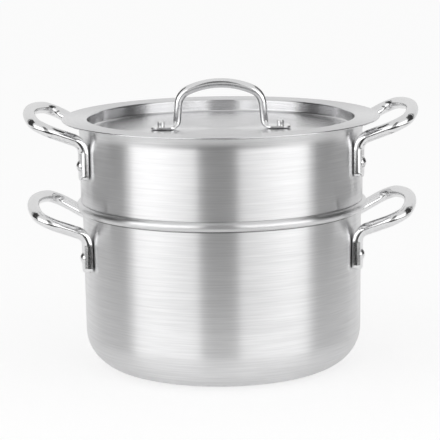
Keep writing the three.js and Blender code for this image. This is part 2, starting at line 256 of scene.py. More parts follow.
@dataclass(frozen=True)
class Metal:
    """What every finish of the aluminium has.

    Attributes:
        finish: The record's material slot.
        colour: Colour of the metal.
        shade: How much darker its marks get.
        roughness: Least and most roughness.
        depth: Depth of its marks in millimetres.
    """

    finish: Finish
    colour: tuple[float, float, float]
    shade: float
    roughness: tuple[float, float]
    depth: float

    def material(self) -> Material:
        """Builds the material.

        Returns:
            The new material.
        """
        made = bpy.data.materials.new(self.finish.value)
        made.use_nodes = True
        metal = made.node_tree.nodes["Principled BSDF"].inputs
        metal["Metallic"].default_value = 1.0
        self.fill(NodeSheet(made.node_tree), metal)
        return made

    def fill(self, sheet: NodeSheet, metal: NodeInputs) -> None:
        """Gives the shader its look."""
        raise NotImplementedError

    def _tone(self, sheet: NodeSheet, mask: NodeSocket) -> NodeSocket:
        """Mixes the metal's colour with its darker shade.

        Args:
            sheet: The material's tree.
            mask: 0 in the shade and 1 on the bare metal.

        Returns:
            The colour's socket.
        """
        dull = [channel * (1.0 - self.shade) for channel in self.colour]
        feeds = {"Factor": mask, "A": (*dull, 1.0), "B": (*self.colour, 1.0)}
        return sheet.add("ShaderNodeMix", feeds, data_type="RGBA", clamp_factor=True).outputs["Result"]

    def _surface(self, sheet: NodeSheet, metal: NodeInputs, wear: NodeSocket, height: NodeSocket) -> None:
        """Gives the shader its roughness and relief.

        Args:
            sheet: The material's tree.
            metal: The shader's sockets.
            wear: Mask of the roughness.
            height: Mask of the relief.
        """
        feeds = {"Strength": 1.0, "Distance": self.depth * MM, "Height": height}
        relief = sheet.add("ShaderNodeBump", feeds).outputs["Normal"]
        sheet.feed(metal, {"Roughness": sheet.spread(wear, *self.roughness), "Normal": relief})


@dataclass(frozen=True)
class BrushedMetal(Metal):
    """Aluminium with brush lines round it, which draw reflections out across the lines.

    Attributes:
        stretch: How far reflections are drawn out across the lines.
        along: Line changes in a metre along the brushing.
        across: Line changes in a metre across it.
        contrast: What the least and greatest noise become in the lines' tone.
        banding: Share of the broad bands in the tone.
        painted_shade_colour: Colour of the painted shade that darkens a crevice.
    """

    stretch: float
    along: float = 22.0
    across: float = 800.0
    contrast: tuple[float, float] = (-0.5, 1.5)
    banding: float = 0.25
    painted_shade_colour: tuple[float, float, float] = (0.2, 0.2, 0.2)

    QUARTER_TURN = 0.25

    def fill(self, sheet: NodeSheet, metal: NodeInputs) -> None:
        """Gives the shader its brush lines, and the painted shade that darkens its crevices.

        Args:
            sheet: The material's tree.
            metal: The shader's sockets.
        """
        turned = sheet.add("ShaderNodeTangent", direction_type="UV_MAP", uv_map=TURNED_UV)
        unrolled = sheet.add("ShaderNodeUVMap", uv_map=TURNED_UV).outputs["UV"]
        feeds = {
            "Place": sheet.add("ShaderNodeTexCoord").outputs["Object"],
            "Run": sheet.add("ShaderNodeSeparateXYZ", {0: unrolled}).outputs["Y"],
            "Along": self.along,
            "Across": self.across,
        }
        brush = sheet.add("ShaderNodeGroup", feeds, node_tree=BrushLines.tree()).outputs
        lines = sheet.spread(brush["Lines"], *self.contrast)
        bands = sheet.math("MULTIPLY", brush["Bands"], self.banding)
        grain = sheet.math("ADD", sheet.math("MULTIPLY", lines, 1.0 - self.banding), bands)
        # Painted shade: the crease mask darkens the base colour towards a dark grey, where shadow falls
        # under the bead.
        soil = sheet.add("ShaderNodeAttribute", attribute_name=PAINTED_SHADE).outputs["Fac"]
        feeds = {"Factor": soil, "A": self._tone(sheet, grain), "B": (*self.painted_shade_colour, 1.0)}
        looks = {
            "Anisotropic": self.stretch,
            "Anisotropic Rotation": self.QUARTER_TURN,
            "Tangent": turned.outputs["Tangent"],
            "Base Color": sheet.add("ShaderNodeMix", feeds, data_type="RGBA").outputs["Result"],
        }
        sheet.feed(metal, looks)
        self._surface(sheet, metal, brush["Lines"], brush["Lines"])


@dataclass(frozen=True)
class PolishedMetal(Metal):
    """Buffed aluminium with the faint marks of use.

    Attributes:
        fineness: Scale of the scratches.
    """

    fineness: float

    def fill(self, sheet: NodeSheet, metal: NodeInputs) -> None:
        """Gives the shader its scratches and clouds.

        Args:
            sheet: The material's tree.
            metal: The shader's sockets.
        """
        place = sheet.add("ShaderNodeTexCoord").outputs["Object"]
        feeds = {"Place": place, "Fineness": self.fineness}
        marks = sheet.add("ShaderNodeGroup", feeds, node_tree=HandMarks.tree()).outputs
        sheet.feed(metal, {"Base Color": self._tone(sheet, marks["Clouds"])})
        self._surface(sheet, metal, marks["Scratches"], marks["Clouds"])


class FinishShelf:
    """The finishes of the double boiler, each made once."""

    def __init__(self) -> None:
        """Makes every material."""
        kinds = (
            BrushedMetal(
                finish=Finish.SHELL,
                colour=(0.92, 0.92, 0.925),
                shade=0.2,
                roughness=(0.27, 0.37),
                depth=0.03,
                stretch=0.955,
            ),
            BrushedMetal(
                finish=Finish.COVER,
                colour=(0.86, 0.86, 0.87),
                shade=0.14,
                roughness=(0.19, 0.28),
                depth=0.014,
                stretch=0.95,
            ),
            PolishedMetal(
                finish=Finish.ROD,
                colour=(0.9, 0.9, 0.905),
                shade=0.06,
                roughness=(0.1, 0.22),
                depth=0.01,
                fineness=900.0,
            ),
            PolishedMetal(
                finish=Finish.RIVET,
                colour=(0.89, 0.89, 0.895),
                shade=0.08,
                roughness=(0.14, 0.28),
                depth=0.01,
                fineness=1400.0,
            ),
        )
        self.made = {kind.finish: kind.material() for kind in kinds}

    def dress(self, piece: Object, finish: Finish, body: str, node: str) -> None:
        """Gives a piece its finish and its place in the frame.

        Args:
            piece: The piece.
            finish: Its finish.
            body: CAD body that it moves with.
            node: CAD node that it stands for.
        """
        piece.data.materials.append(self.made[finish])
        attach(piece, body)
        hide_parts(node)
        LOG.info("%s stands for %s on %s", piece.name, node, body)


class LathePen:
    """Draws half a section in the plane y = 0, then spins it about the Z axis."""

    def __init__(self, radius: float, height: float) -> None:
        """Starts the section.

        Args:
            radius: First point's radius in millimetres.
            height: First point's height in millimetres.
        """
        self.mesh = bmesh.new()
        self.run = self.mesh.verts.layers.float.new("run")
        # Painted shade: how much the base colour is darkened at each point of a crease.
        self.soil = self.mesh.verts.layers.float.new(PAINTED_SHADE)
        self.tip = self.mesh.verts.new((radius * MM, 0.0, height * MM))

    def _measure(self, fresh: list[BMVert]) -> None:
        """Notes how far along the section each new point lies.

        Args:
            fresh: The new points in order.
        """
        for vert in fresh:
            vert[self.run] = self.tip[self.run] + (vert.co - self.tip.co).length
            vert[self.soil] = 0.0
            self.tip = vert

    def with_painted_shade(self, amount: float) -> "LathePen":
        """Says how much painted shade darkens the tip's crevice, from 0 to 1."""
        self.tip[self.soil] = amount
        return self

    def line(self, radius: float, height: float) -> "LathePen":
        """Draws a straight line.

        Args:
            radius: End point's radius in millimetres.
            height: End point's height in millimetres.

        Returns:
            This pen.
        """
        fresh = bmesh.ops.extrude_vert_indiv(self.mesh, verts=[self.tip])["verts"]
        fresh[0].co = (radius * MM, 0.0, height * MM)
        self._measure(fresh)
        return self

    def arc(self, radius: float, height: float, degrees: float, steps: int) -> "LathePen":
        """Draws an arc from the tip about a centre.

        Args:
            radius: Centre's radius in millimetres.
            height: Centre's height in millimetres.
            degrees: Angle turned, positive from +X towards +Z.
            steps: Straight pieces in the arc.

        Returns:
            This pen.
        """
        centre = (radius * MM, 0.0, height * MM)
        for _ in range(steps):
            fresh = bmesh.ops.extrude_vert_indiv(self.mesh, verts=[self.tip])["verts"]
            turn = Matrix.Rotation(math.radians(-degrees / steps), 3, "Y")
            bmesh.ops.rotate(self.mesh, cent=centre, matrix=turn, verts=fresh)
            self._measure(fresh)
        return self

    def spun(self, name: str, steps: int) -> Object:
        """Spins the section into a closed piece.

        Args:
            name: The piece's name.
            steps: Facets round the axis.

        Returns:
            The new object.
        """
        bmesh.ops.spin(
            self.mesh,
            geom=self.mesh.verts[:] + self.mesh.edges[:],
            cent=(0.0, 0.0, 0.0),
            axis=(0.0, 0.0, 1.0),
            angle=math.tau,
            steps=steps,
            use_merge=True,
        )
        bmesh.ops.remove_doubles(self.mesh, verts=self.mesh.verts, dist=MERGE)
        bmesh.ops.recalc_face_normals(self.mesh, faces=self.mesh.faces)
        self._unroll()
        return finished(self.mesh, name)

    def _unroll(self) -> None:
        """Lays a map on the faces: the turn round the axis by the run along the section."""
        unrolled = self.mesh.loops.layers.uv.new(TURNED_UV)
        for face in self.mesh.faces:
            middle = face.calc_center_median()
            home = math.atan2(middle.x, middle.y)
            for loop in face.loops:
                spot = loop.vert.co
                turn = home
                if spot.xy.length > MERGE:
                    turn = math.atan2(spot.x, spot.y)
                    turn += math.tau * round((home - turn) / math.tau)
                loop[unrolled].uv = (turn / math.tau, loop.vert[self.run])


def finished(mesh: BMesh, name: str) -> Object:
    """Turns a bmesh into a smooth-shaded object.

    Args:
        mesh: The bmesh, which is freed.
        name: The object's name.

    Returns:
        The new object.
    """
    data = bpy.data.meshes.new(name)
    mesh.to_mesh(data)
    mesh.free()
    data.shade_smooth()
    data.set_sharp_from_angle(angle=math.radians(SHARP_ANGLE))
    piece = bpy.data.objects.new(name, data)
    bpy.context.scene.collection.objects.link(piece)
    even = piece.modifiers.new("even_shading", "WEIGHTED_NORMAL")
    even.keep_sharp = True
    even.weight = FACE_WEIGHT
    return piece


@dataclass(frozen=True)
class Profile:
    """A section of a forged rod, in millimetres.

    Attributes:
        width: Size across the tab.
        thickness: Size through the tab.
        squareness: Power of the superellipse on the outer half, 2 for a round rod.
        backing: The same on the half towards the seat.
        belly: Share of the thickness that lies behind the widest line.
    """

    width: float
    thickness: float
    squareness: float = 2.0
    backing: float = 2.0
    belly: float = 0.5

    def towards(self, other: "Profile", share: float) -> "Profile":
        """Blends this section with a share of another."""
        pairs = zip(astuple(self), astuple(other))
        return Profile(*(mine + (theirs - mine) * share for mine, theirs in pairs))


@dataclass(frozen=True)
class Station:
    """A place on a forged rod.

    Attributes:
        spot: Centre of the section.
        ahead: Direction of the rod there.
        form: The section.
    """

    spot: Vector
    ahead: Vector
    form: Profile


class ForgedRod:
    """A rod lofted through stations, with one flat end."""

    SIDES = 32

    def __init__(self, normal: Vector, stations: list[Station]) -> None:
        """Lofts the rod.

        Args:
            normal: Direction through the tab at its end.
            stations: The sections in order, from the tab's end.
        """
        self.mesh = bmesh.new()
        self.seat = self.mesh.verts.layers.int.new("seat")
        self.normal = normal.normalized()
        self.ahead: Vector | None = None
        self.ring: list[BMVert] = []
        self.rim: list[BMEdge] = []
        for station in stations:
            self._add(station)

    def _add(self, station: Station) -> None:
        """Draws the rod on to the next station.

        Args:
            station: The section to reach.
        """
        if self.ahead is None:
            drawn = bmesh.ops.create_circle(self.mesh, cap_ends=True, radius=1.0, segments=self.SIDES)
            self.ring = drawn["verts"]
            for index, vert in enumerate(self.ring):
                vert[self.seat] = index
            self.rim = self.mesh.edges[:]
        else:
            self.normal.rotate(self.ahead.rotation_difference(station.ahead))
            drawn = bmesh.ops.extrude_edge_only(self.mesh, edges=self.rim)["geom"]
            self.ring = [item for item in drawn if isinstance(item, BMVert)]
            fresh = set(self.ring)
            edges = (item for item in drawn if isinstance(item, BMEdge))
            self.rim = [edge for edge in edges if fresh.issuperset(edge.verts)]
        self.ahead = station.ahead
        self._shape(station)

    def _shape(self, station: Station) -> None:
        """Moves the open ring onto a station's section.

        Args:
            station: The section.
        """
        form = station.form
        across = self.normal.cross(station.ahead)
        for vert in self.ring:
            angle = math.tau * vert[self.seat] / self.SIDES
            cosine, sine = math.cos(angle), math.sin(angle)
            power = 2.0 / (form.squareness if sine > 0.0 else form.backing)
            wide = math.copysign(abs(cosine) ** power, cosine) * form.width / 2 * MM
            depth = 1.0 - form.belly if sine > 0.0 else form.belly
            thick = math.copysign(abs(sine) ** power, sine) * depth + form.belly - 0.5
            thick *= form.thickness * MM
            vert.co = station.spot + across * wide + self.normal * thick

    def closed(self, axis: str, turn: float, name: str) -> Object:
        """Mirrors the half rod and closes it.

        Args:
            axis: Axis that the mirror plane is square to.
            turn: Angle to turn the whole about Z.
            name: The piece's name.

        Returns:
            The new object.
        """
        everything = self.mesh.verts[:] + self.mesh.edges[:] + self.mesh.faces[:]
        bmesh.ops.mirror(self.mesh, geom=everything, axis=axis, merge_dist=MERGE)
        bmesh.ops.remove_doubles(self.mesh, verts=self.mesh.verts, dist=MERGE)
        bmesh.ops.recalc_face_normals(self.mesh, faces=self.mesh.faces)
        placed = Matrix.Rotation(turn, 3, "Z")
        bmesh.ops.rotate(self.mesh, cent=(0, 0, 0), matrix=placed, verts=self.mesh.verts)
        return finished(self.mesh, name)


@dataclass
class BentLoop:
    """Half of a loop in its own plane: a straight limb, a tight corner and a wide grip arc.

    Attributes:
        corner: Point where the tab's line meets the limb's line, in metres.
        out: Direction from the root to the grip.
        side: Direction from the middle to this half.
        down: Direction from the corner to the tab's end.
        spread: Distance of the corner from the middle plane, in millimetres.
        reach: Distance from the corner to the grip's crown along out.
        splay: Angle of the limb off out, in degrees.
        small: Radius of the tight corner.
        large: Radius of the grip arc.
        bend: Radius of the bend from tab to limb.
        tab: Length of the tab from the corner.
        flat: Section of the tab.
        rod: Diameter of the limb and of the grip.
        rounding: Radius of the tab's two end corners.
    """

    corner: Vector
    out: Vector
    side: Vector
    down: Vector
    spread: float
    reach: float
    splay: float
    small: float
    large: float
    bend: float
    tab: float
    flat: Profile
    rod: tuple[float, float]
    rounding: float

    END_STEPS = 6
    BEND_STEPS = 14
    CORNER_STEPS = 16
    GRIP_STEPS = 14
    LIP = 0.9

    def _place(self, spot: Vector) -> Vector:
        """Puts a point of the loop's plane in space."""
        return self.corner + (self.out * spot.x + self.side * (spot.y - self.spread)) * MM

    def stations(self) -> list[Station]:
        """Works out the sections from the tab's end to the grip's middle.

        Returns:
            The stations in order.
        """
        splay = math.radians(self.splay)
        limb = Vector((math.cos(splay), math.sin(splay)))
        inward = Vector((limb.y, -limb.x))
        grip = Vector((self.reach - self.large, 0.0))
        offset = Vector((0.0, self.spread)) + inward * self.small - grip
        ahead = offset.dot(limb)
        length = math.sqrt(ahead**2 - offset.length_squared + (self.large - self.small) ** 2) - ahead
        to_corner = offset + limb * length
        straight = self.out * limb.x + self.side * limb.y
        made = self._tab(straight)
        bent = (-inward).angle(to_corner)
        made += self._round(to_corner + grip, -inward, limb, self.small, bent, False)
        outward = to_corner.normalized()
        sweep = math.atan2(to_corner.y, to_corner.x)
        around = Vector((outward.y, -outward.x))
        made += self._round(grip, outward, around, self.large, sweep, True)
        return made

    def _round(
        self, centre: Vector, start: Vector, along: Vector, radius: float, angle: float, grip: bool
    ) -> list[Station]:
        """Draws a round arc in the loop's plane.

        Args:
            centre: Its centre in the plane.
            start: Direction to its first point.
            along: Direction of travel at its first point.
            radius: Its radius in millimetres.
            angle: Angle that it turns.
            grip: Whether it is the grip and not the corner, where the rod grows from limb to grip.

        Returns:
            The arc's stations.
        """
        steps = self.GRIP_STEPS if grip else self.CORNER_STEPS
        slim, full = self.rod
        made = []
        for step in range(int(grip), steps + 1):
            share = step / steps
            turn = angle * share
            arm = start * math.cos(turn) + along * math.sin(turn)
            travel = along * math.cos(turn) - start * math.sin(turn)
            heading = (self.out * travel.x + self.side * travel.y).normalized()
            size = full if grip else slim + (full - slim) * share
            made.append(Station(self._place(centre + arm * radius), heading, Profile(size, size)))
        return made

    def _tab(self, limb: Vector) -> list[Station]:
        """Draws the flat tab and the bend that turns it into the round limb.

        Args:
            limb: Direction of the limb.

        Returns:
            The stations from the tab's end to the end of the bend.
        """
        up = -self.down
        turn = up.angle(limb)
        back = self.bend * math.tan(turn / 2)
        made = []
        end = self.corner + self.down * self.tab * MM
        for step in range(self.END_STEPS + 1):
            angle = math.pi / 2 * step / self.END_STEPS
            advance = self.rounding * (1.0 - math.cos(angle))
            short = 1.0 - math.sin(angle)
            wide = self.flat.width - 2 * self.rounding * short
            thick = self.flat.thickness - 2 * self.LIP * short**2
            form = replace(self.flat, width=wide, thickness=thick)
            made.append(Station(end + up * advance * MM, up, form))
        start = self.corner - up * back * MM
        towards = (limb - up * limb.dot(up)).normalized()
        centre = start + towards * self.bend * MM
        rod = Profile(self.rod[0], self.rod[0])
        for step in range(self.BEND_STEPS + 1):
            share = step / self.BEND_STEPS
            blend = share * share * (3.0 - 2.0 * share)
            angle = turn * share
            spot = centre + (up * math.sin(angle) - towards * math.cos(angle)) * self.bend * MM
            heading = up * math.cos(angle) + towards * math.sin(angle)
            made.append(Station(spot, heading, self.flat.towards(rod, blend)))
        return made


@dataclass(frozen=True)
class RivetTail:
    """The flat tail of a rivet, in millimetres.

    Attributes:
        size: Its diameter.
        height: Its height.
        edge: Rounding of its edge.
        steps: Straight pieces in the rounding.
    """

    size: float
    height: float
    edge: float
    steps: int

    def stem(self, shank: float, root: float, seat: float) -> LathePen:
        """Draws the tail and the shank about Z, head up.

        Args:
            shank: Diameter of the shank.
            root: Height where the tail bears.
            seat: Height where the head bears.

        Returns:
            The pen, at the head's seat.
        """
        foot = root - self.height
        rounded = self.size / 2 - self.edge
        pen = LathePen(0.0, foot)
        pen.line(rounded, foot).arc(rounded, foot + self.edge, 90, self.steps)
        return pen.line(self.size / 2, root).line(shank / 2, root).line(shank / 2, seat)


@dataclass
class PotHandles:
    """The two loop handles of a pot with their rivets, in millimetres and degrees.

    Attributes:
        body: CAD body that they are riveted to.
        wall: Outer radius of the wall that they sit on.
        inside: Inner radius of that wall at the rivets.
        rivet_z: Height of the rivets.
    """

    body: str
    wall: float
    inside: float
    rivet_z: float
    gap: float = 0.3
    rod: float = 11.0
    reach: float = 45.8
    tilt: float = 24.5
    tab_angle: float = 21.3
    splay: float = 26.5
    small: float = 14.5
    bend: float = 14.0
    tab_width: float = 16.2
    tab_thickness: float = 6.9
    tab_below: float = 13.4
    tab_rise: float = 21.0
    tab_crown: float = 2.8
    tab_backing: float = 9.0
    tab_belly: float = 0.12
    rounding: float = 4.5
    shank: float = 6.0
    head: float = 10.4
    dome: float = 2.8
    head_edge: float = 0.5
    head_sink: float = 0.4
    tail: RivetTail = RivetTail(11.0, 1.6, 0.5, 4)
    tail_sag: float = 0.36

    DOME_STEPS = 8

    def handle(self, side: Side) -> Object:
        """Builds one handle.

        Args:
            side: The side that it is on.

        Returns:
            The new object.
        """
        angle = math.radians(self.tab_angle)
        radius = self.wall + self.gap + self.tab_thickness / 2
        outward = Vector((math.cos(angle), math.sin(angle), 0.0))
        corner = outward * radius * MM + Vector((0.0, 0.0, (self.rivet_z + self.tab_rise) * MM))
        tilt = math.radians(self.tilt)
        crown = self.wall + self.reach
        loop = BentLoop(
            corner=corner,
            out=Vector((math.cos(tilt), 0.0, math.sin(tilt))),
            side=Vector((0.0, 1.0, 0.0)),
            down=Vector((0.0, 0.0, -1.0)),
            spread=corner.y / MM,
            reach=(crown - corner.x / MM) / math.cos(tilt),
            splay=self.splay,
            small=self.small,
            large=crown,
            bend=self.bend,
            tab=self.tab_rise + self.tab_below,
            flat=Profile(
                self.tab_width, self.tab_thickness, self.tab_crown, self.tab_backing, self.tab_belly
            ),
            rod=(self.rod, self.rod),
            rounding=self.rounding,
        )
        name = f"{self.body}_handle_{side.name.lower()}_rod"
        return ForgedRod(outward, loop.stations()).closed("Y", side.value, name)

    def rivet(self, side: Side, end: End) -> Object:
        """Builds one rivet.

        Args:
            side: The side that its handle is on.
            end: The end of the handle that it holds.

        Returns:
            The new object.
        """
        seat = self.wall + self.gap + self.tab_thickness - self.head_sink
        root = self.inside - self.tail_sag - self.gap
        name = f"{self.body}_rivet_{side.name.lower()}_{end.name.lower()}_dome"
        rise = self.dome - self.head_edge
        shoulder = seat + self.head_edge
        crown = (self.head**2 / 4 + rise**2) / (2 * rise)
        sweep = math.degrees(math.asin(self.head / 2 / crown))
        pen = self.tail.stem(self.shank, root, seat)
        pen.line(self.head / 2, seat).line(self.head / 2, shoulder)
        pen.arc(0.0, shoulder + rise - crown, sweep, self.DOME_STEPS)
        piece = pen.spun(name, RIVET_STEPS)
        angle = side.value + end.value * math.radians(self.tab_angle) * (1 if side is Side.RIGHT else -1)
        lay = Matrix.Rotation(angle, 4, "Z") @ Matrix.Rotation(math.pi / 2, 4, "Y")
        piece.data.transform(Matrix.Translation((0.0, 0.0, self.rivet_z * MM)) @ lay)
        return piece

    def build(self, shelf: FinishShelf) -> None:
        """Builds and dresses both handles and their rivets.

        Args:
            shelf: The finishes.
        """
        for side in Side:
            node = f"{self.body}_handle_{side.name.lower()}"
            shelf.dress(self.handle(side), Finish.ROD, self.body, node)
            for end in End:
                node = f"{self.body}_rivet_{side.name.lower()}_{end.name.lower()}"
                shelf.dress(self.rivet(side, end), Finish.RIVET, self.body, node)


@dataclass
class BoilerPot:
    """The lower water pot: one spun shell with a half-round rim bead, in millimetres."""

    radius: float = 130.0
    height: float = 157.0
    wall: float = 3.0
    base: float = 4.0
    corner: float = 36.0
    draft: float = 0.8
    bead_height: float = 8.6
    bead_proud: float = 5.5
    lip: float = 1.0
    crease: float = 1.6
    crease_start: float = 0.6
    # Painted shade in the crease under the bead, at its outer and inner points.
    crease_painted_shade: tuple[float, float] = (0.9, 1.0)
    rivet_drop: float = 46.4

    CORNER_STEPS = 20
    BEAD_STEPS = 16
    LIP_STEPS = 5

    def shell(self) -> Object:
        """Spins the pot.

        Returns:
            The new object.
        """
        foot = self.radius - self.draft
        inner = self.corner - self.base
        nose = self.bead_height / 2
        stem = self.radius + self.bead_proud - nose
        pen = LathePen(0.0, 0.0)
        pen.line(foot - self.corner, 0.0).arc(foot - self.corner, self.corner, 90, self.CORNER_STEPS)
        under = self.height - self.bead_height
        # The crease points below carry painted shade, which darkens the colour where shadow falls under
        # the bead.
        outer_painted_shade, inner_painted_shade = self.crease_painted_shade
        pen.line(self.radius, under - self.crease)
        pen.line(self.radius, under - self.crease_start * self.crease).with_painted_shade(outer_painted_shade)
        pen.line(self.radius, under).with_painted_shade(inner_painted_shade).line(stem, under)
        pen.arc(stem, self.height - nose, 180, self.BEAD_STEPS)
        edge = self.radius - self.wall + self.lip
        pen.line(edge, self.height).arc(edge, self.height - self.lip, 90, self.LIP_STEPS)
        pen.line(foot - self.wall, self.corner)
        pen.arc(foot - self.wall - inner, self.corner, -90, self.CORNER_STEPS)
        pen.line(0.0, self.base)
        return pen.spun("boiler_pot_shell", SHELL_STEPS)

    def build(self, shelf: FinishShelf) -> None:
        """Builds and dresses the pot, its handles and rivets.

        Args:
            shelf: The finishes.
        """
        shelf.dress(self.shell(), Finish.SHELL, "boiler", "boiler_pot")
        rivet_z = self.height - self.rivet_drop
        lean = self.draft / (self.height - self.corner)
        inside = self.radius - self.wall - lean * self.rivet_drop
        PotHandles("boiler", self.radius, inside, rivet_z).build(shelf)


@dataclass
class InsertPan:
    """The upper pan: a shell whose shoulder rests on the boiler's rim, in millimetres."""

    radius: float = 131.5
    seat_z: float = 157.05
    rise: float = 75.25
    wall: float = 2.5
    base: float = 3.0
    nest_radius: float = 123.0
    nest_depth: float = 105.0
    nest_corner: float = 26.0
    shoulder: float = 3.0
    foot: float = 0.5
    fillet: float = 1.5
    flare_radius: float = 18.5
    flare_angle: float = 36.0
    rivet_drop: float = 36.2

    CORNER_STEPS = 16
    SHOULDER_STEPS = 8
    FILLET_STEPS = 6
    FLARE_STEPS = 10

    def shell(self) -> Object:
        """Spins the pan.

        Returns:
            The new object.
        """
        low = self.seat_z - self.nest_depth
        rim = self.seat_z + self.rise
        lip = self.wall / 2
        nest = self.nest_radius
        turn = self.shoulder
        pen = LathePen(0.0, low)
        pen.line(nest - self.nest_corner, low)
        pen.arc(nest - self.nest_corner, low + self.nest_corner, 90, self.CORNER_STEPS)
        pen.line(nest, self.seat_z - turn)
        pen.arc(nest + turn, self.seat_z - turn, -90, self.SHOULDER_STEPS)
        foot = self.foot
        pen.line(self.radius - foot, self.seat_z)
        pen.arc(self.radius - foot, self.seat_z + foot, 90, self.FILLET_STEPS)
        tilt = math.radians(self.flare_angle)
        middle = self.flare_radius + lip
        centre = self.radius + self.flare_radius
        start = rim - lip - middle * math.sin(tilt)
        pen.line(self.radius, start).arc(centre, start, -self.flare_angle, self.FLARE_STEPS)
        pen.arc(centre - middle * math.cos(tilt), rim - lip, 180, self.FLARE_STEPS)
        pen.arc(centre, start, self.flare_angle, self.FLARE_STEPS)
        inner = self.radius - self.wall
        inside = self.seat_z + self.wall
        pen.line(inner, inside + self.fillet)
        pen.arc(inner - self.fillet, inside + self.fillet, -90, self.FILLET_STEPS)
        pen.line(nest + turn, inside).arc(nest + turn, self.seat_z - turn, 90, self.SHOULDER_STEPS)
        small = self.nest_corner - self.base
        pen.line(nest - self.wall, low + self.nest_corner)
        pen.arc(nest - self.wall - small, low + self.nest_corner, -90, self.CORNER_STEPS)
        pen.line(0.0, low + self.base)
        return pen.spun("insert_pan_shell", SHELL_STEPS)

    def build(self, shelf: FinishShelf) -> None:
        """Builds and dresses the pan, its handles and rivets.

        Args:
            shelf: The finishes.
        """
        shelf.dress(self.shell(), Finish.SHELL, "insert", "insert_pan")
        rivet_z = self.seat_z + self.rise - self.rivet_drop
        PotHandles("insert", self.radius, self.radius - self.wall, rivet_z).build(shelf)


@dataclass
class SunkenCover:
    """The cover: a flat flange round a sunken disc, with an arched rod handle, in millimetres."""

    flange: float = 147.8
    recess: float = 124.0
    top_z: float = 234.1
    depth: float = 12.0
    sheet: float = 1.5
    bend: float = 0.6
    fillet: float = 2.5
    leg: float = 7.4
    grip: float = 8.9
    grip_rise: float = 42.4
    grip_radius: float = 74.0
    leg_spread: float = 41.0
    leg_lean: float = 5.0
    arch_corner: float = 16.2
    foot_bend: float = 6.0
    foot_length: float = 24.2
    foot_width: float = 18.0
    foot_thickness: float = 2.4
    foot_rounding: float = 7.0
    foot_rivet: float = 14.4
    foot_crown: float = 6.0
    stud_shank: float = 4.6
    stud_head: float = 6.9
    stud_height: float = 4.5
    stud_rounding: float = 1.6
    stud_tail: RivetTail = RivetTail(9.0, 1.5, 0.4, 3)
    gap: float = 0.3
    margin: float = 0.02

    FILLET_STEPS = 8
    UNDER_BEND_STEPS = 5
    TOP_BEND_STEPS = 7
    EDGE_STEPS = 8
    STUD_STEPS = 6

    @property
    def floor_z(self) -> float:
        """Height of the disc's upper face."""
        return self.top_z - self.depth

    def shell(self) -> Object:
        """Spins the sheet.

        Returns:
            The new object.
        """
        under = self.floor_z - self.sheet
        outer = self.fillet + self.sheet
        wide = self.bend + self.sheet
        middle = self.recess - self.fillet
        lip = self.sheet / 2
        crest = self.recess + wide
        edge = self.flange - lip - self.margin
        pen = LathePen(0.0, under)
        pen.line(middle, under).arc(middle, under + outer, 90, self.FILLET_STEPS)
        pen.line(middle + outer, self.top_z - wide)
        pen.arc(crest, self.top_z - wide, -90, self.UNDER_BEND_STEPS)
        pen.line(edge, self.top_z - self.sheet).arc(edge, self.top_z - lip, 180, self.EDGE_STEPS)
        pen.line(crest, self.top_z).arc(crest, self.top_z - wide, 90, self.TOP_BEND_STEPS)
        pen.line(self.recess, self.floor_z + self.fillet)
        pen.arc(middle, self.floor_z + self.fillet, -90, self.FILLET_STEPS)
        pen.line(0.0, self.floor_z)
        return pen.spun("cover_sheet", SHELL_STEPS)

    def handle(self) -> Object:
        """Builds the arched handle.

        Returns:
            The new object.
        """
        foot_z = self.floor_z + self.gap + self.foot_thickness / 2
        corner = Vector((self.leg_spread * MM, 0.0, foot_z * MM))
        loop = BentLoop(
            corner=corner,
            out=Vector((0.0, 0.0, 1.0)),
            side=Vector((1.0, 0.0, 0.0)),
            down=Vector((1.0, 0.0, 0.0)),
            spread=self.leg_spread,
            reach=self.grip_rise - self.gap - self.foot_thickness / 2,
            splay=-self.leg_lean,
            small=self.arch_corner,
            large=self.grip_radius,
            bend=self.foot_bend,
            tab=self.foot_length,
            flat=Profile(self.foot_width, self.foot_thickness, self.foot_crown, self.foot_crown),
            rod=(self.leg, self.grip),
            rounding=self.foot_rounding,
        )
        return ForgedRod(loop.out, loop.stations()).closed("X", 0.0, "cover_handle_rod")

    def stud(self, side: Side) -> Object:
        """Builds one stubby rivet.

        Args:
            side: The foot that it holds.

        Returns:
            The new object.
        """
        seat = self.floor_z + self.foot_thickness + 2 * self.gap
        root = self.floor_z - self.sheet - self.gap
        radius = self.stud_head / 2
        round_z = seat + self.stud_height - self.stud_rounding
        pen = self.stud_tail.stem(self.stud_shank, root, seat)
        pen.line(radius, seat).line(radius, round_z)
        pen.arc(radius - self.stud_rounding, round_z, 90, self.STUD_STEPS)
        pen.line(0.0, seat + self.stud_height)
        piece = pen.spun(f"cover_rivet_{side.name.lower()}_stud", RIVET_STEPS)
        spot = (self.leg_spread + self.foot_rivet) * MM * math.cos(side.value)
        piece.data.transform(Matrix.Translation((spot, 0.0, 0.0)))
        return piece

    def build(self, shelf: FinishShelf) -> None:
        """Builds and dresses the cover, its handle and rivets.

        Args:
            shelf: The finishes.
        """
        shelf.dress(self.shell(), Finish.COVER, "cover", "cover")
        shelf.dress(self.handle(), Finish.ROD, "cover", "cover_handle")
        for side in Side:
            shelf.dress(self.stud(side), Finish.RIVET, "cover", f"cover_rivet_{side.name.lower()}")


class CardTone(Enum):
    """How bright a studio card looks in the metal."""

    BLACK = 0.02
    DARK = 0.04
    SHADE = 0.12
    MIDDLE = 0.55
    PALE = 0.74
    GREY = 0.76
    WHITE = 1.1


@dataclass(frozen=True)
class Card:
    """A curved studio card round the object, seen only in the metal.

    Attributes:
        name: Its name.
        tone: How bright it is.
        start: Azimuth of its left edge in degrees, from the camera's side towards the right.
        sweep: Angle that it covers.
        low: Height of its lower edge in metres.
        high: Height of its upper edge.
        nearer: How far it stands inside the ring of cards.
    """

    name: str
    tone: CardTone
    start: float
    sweep: float
    low: float = -0.2
    high: float = 2.3
    nearer: float = 0.0


